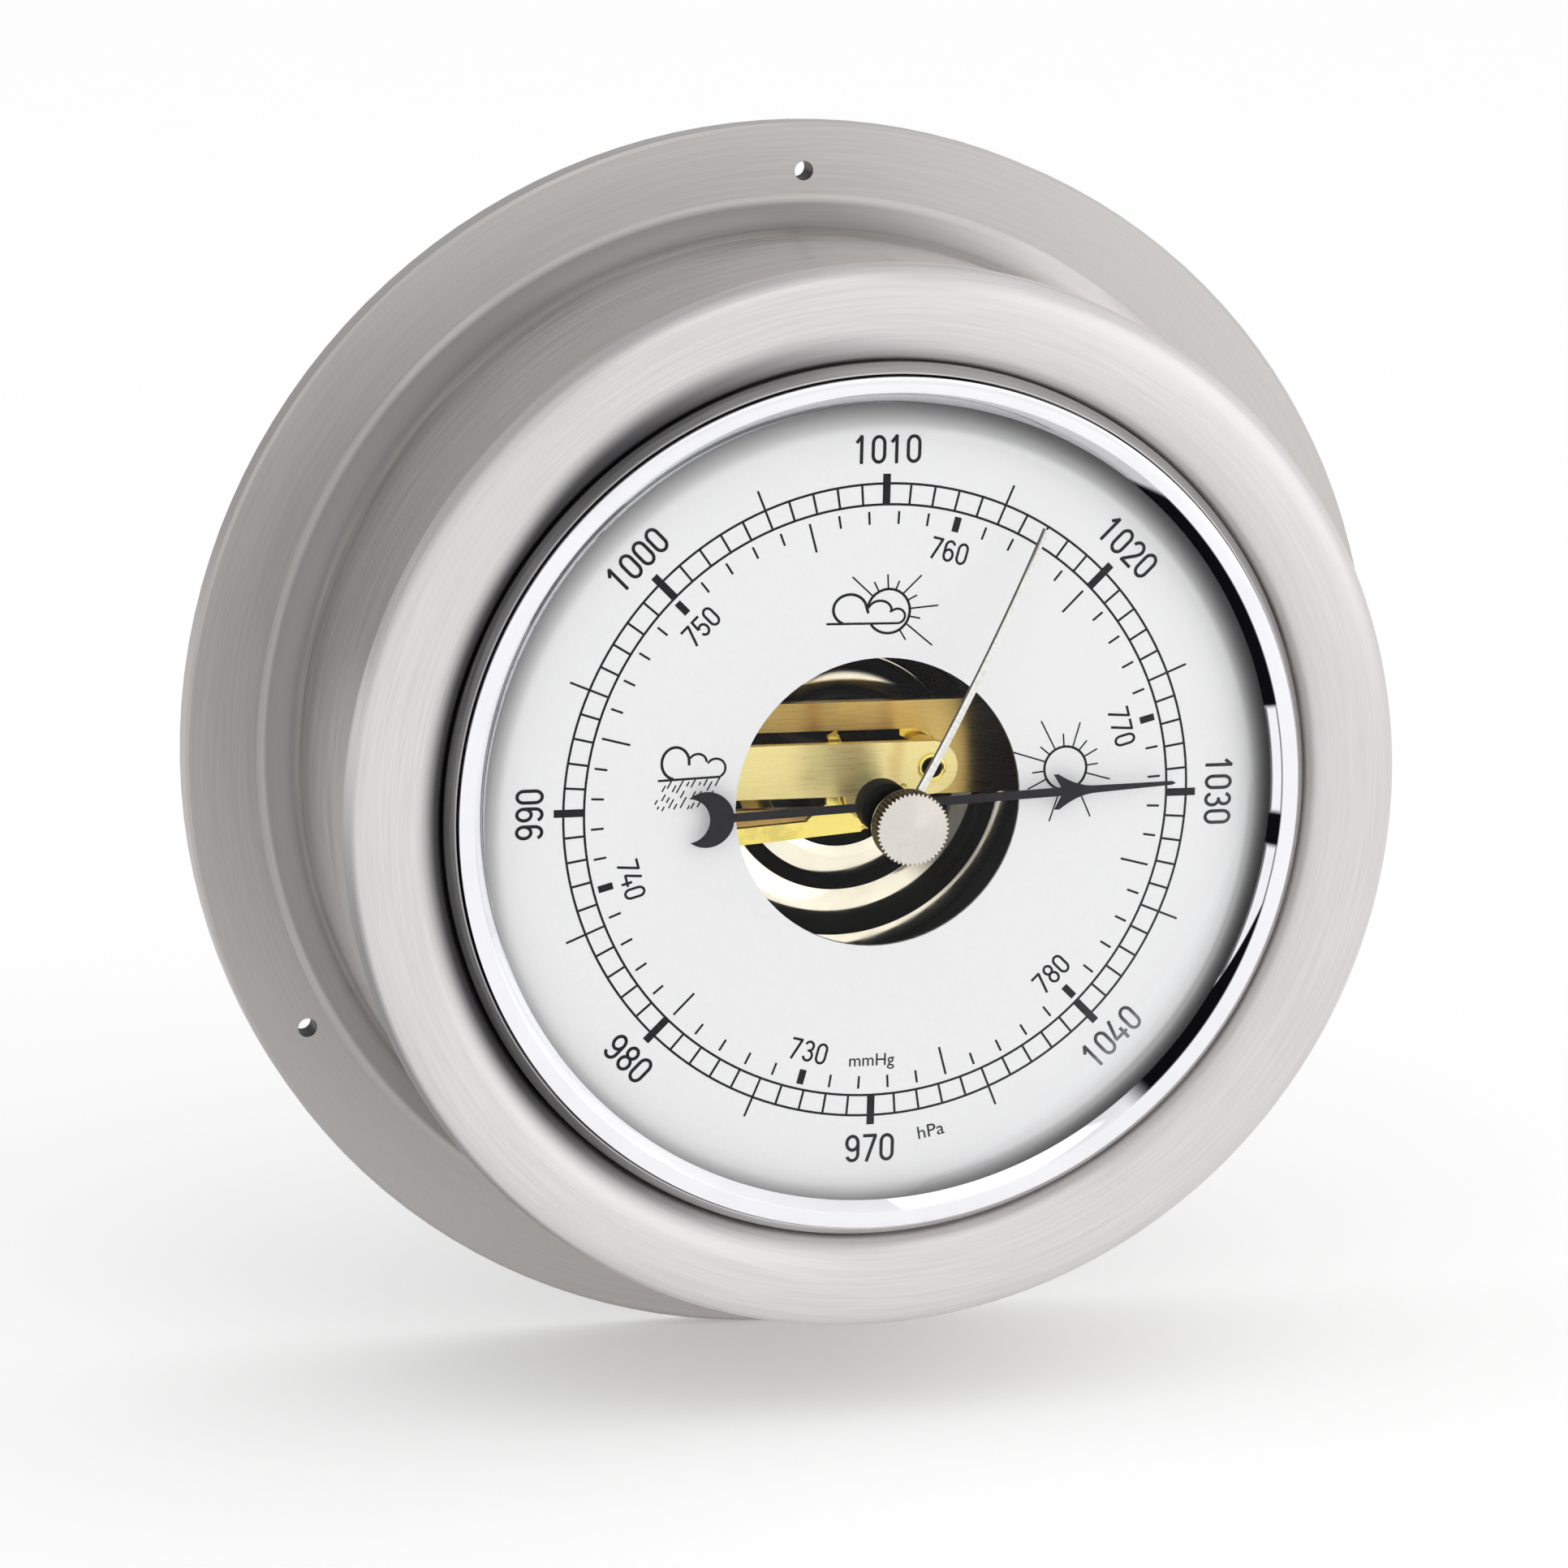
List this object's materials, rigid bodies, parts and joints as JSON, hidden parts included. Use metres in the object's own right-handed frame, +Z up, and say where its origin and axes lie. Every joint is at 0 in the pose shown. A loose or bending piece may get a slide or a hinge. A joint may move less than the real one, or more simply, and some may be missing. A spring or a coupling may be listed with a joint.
{
  "type": "barometer",
  "caption": "Round porthole wall barometer: brushed steel case and flange, domed glass, white open dial over a brass aneroid movement, black pointer and set hand.",
  "frame": {"origin": "centre of the wall screw circle on the wall plane (back of the flange)", "axes": "+X right, +Z up, the dial looks along -Y, +Y goes into the wall"},
  "size_m": [0.15, 0.0589, 0.15],
  "materials": {
    "case_steel": "circumferentially brushed stainless steel, warm grey",
    "bezel_steel": "circumferentially brushed stainless steel, light",
    "ring_chrome": "polished",
    "crystal": "clear domed glass",
    "seal_rubber": "matt black",
    "dial_white": "satin white print on aluminium",
    "can_black": "black lacquer",
    "brass_dark": "brushed, brown gold",
    "brass_bright": "brushed, bright yellow",
    "brass_turned": "turned and polished",
    "capsule_metal": "polished corrugated beryllium bronze, pale",
    "arbor_steel": "polished hardened steel",
    "spring_blue": "blued spring steel",
    "pointer_black": "satin black lacquer",
    "nickel": "matt nickel plate"
  },
  "bodies": {
    "case": {"case_shell": "case_steel", "front_bezel": "bezel_steel", "chrome_ring": "ring_chrome", "glass": "crystal", "glass_seal": "seal_rubber", "glass_bush": "nickel", "dial": "dial_white", "instrument_can": "can_black", "retaining_clips": "arbor_steel", "clip_screws": "arbor_steel", "plate_posts": "brass_turned", "base_plate": "brass_dark", "base_screws": "brass_turned", "bridge_pillars": "brass_turned", "bridge_plate": "brass_dark", "bridge_screws": "brass_turned", "front_bar": "brass_bright", "bar_spacer": "brass_turned", "tubular_rivet": "brass_turned", "bar_pillar": "brass_turned", "bar_screw": "brass_turned", "arbor_cock": "brass_bright", "cock_screws": "brass_turned", "shaft_brackets": "brass_dark", "bracket_screws": "brass_turned", "hairspring_stud": "brass_turned", "capsule_rear": "capsule_metal", "capsule_front": "capsule_metal"},
    "push_post": {"capsule_post": "brass_turned"},
    "rocker": {"rocking_shaft": "arbor_steel", "lever_arm": "brass_bright", "fork_arm": "brass_bright"},
    "sector": {"sector_gear": "brass_bright", "sector_arbor": "arbor_steel", "tail_pin": "arbor_steel"},
    "pointer_shaft": {"pinion_arbor": "arbor_steel", "hairspring": "spring_blue", "pointer": "pointer_black", "pointer_hub": "pointer_black"},
    "set_pointer": {"set_hand": "nickel", "set_spindle": "nickel", "set_knob": "nickel"},
    "zero_screw": {"adjusting_screw": "brass_turned"}
  },
  "joints": [
    {"name": "sector_swing", "type": "hinge", "parent": "case", "child": "sector", "pos_m": [-0.02982, -0.0378, -0.00688], "axis": [0, 1, 0], "range_deg": [-2.8, 8.11]},
    {"name": "pointer_turn", "type": "hinge", "parent": "case", "child": "pointer_shaft", "pos_m": [0, -0.0438, 0], "axis": [0, 1, 0], "range_deg": [-267.51, 92.51], "deforming": ["hairspring"]},
    {"name": "rocker_swing", "type": "hinge", "parent": "case", "child": "rocker", "pos_m": [-0.02982, -0.0218, 0], "axis": [0, 0, 1], "range_deg": [-1.15, 0.4]},
    {"name": "capsule_push", "type": "slide", "parent": "case", "child": "push_post", "axis": [0, 1, 0], "range_m": [-0.0005974, 0.0002066], "deforming": ["capsule_front"]},
    {"name": "set_hand_turn", "type": "hinge", "parent": "case", "child": "set_pointer", "pos_m": [0, -0.0577, 0], "axis": [0, 1, 0], "continuous": true},
    {"name": "zero_screw_turn", "type": "hinge", "parent": "case", "child": "zero_screw", "pos_m": [0, -0.0133, 0], "axis": [0, 1, 0], "range_deg": [-360, 360]}
  ],
  "couplings": [
    {"joint": "pointer_turn", "follows": "sector_swing", "ratio": -33},
    {"joint": "rocker_swing", "follows": "sector_swing", "ratio": -0.14134},
    {"joint": "capsule_push", "follows": "sector_swing", "m_per_rad": -0.0042142}
  ]
}
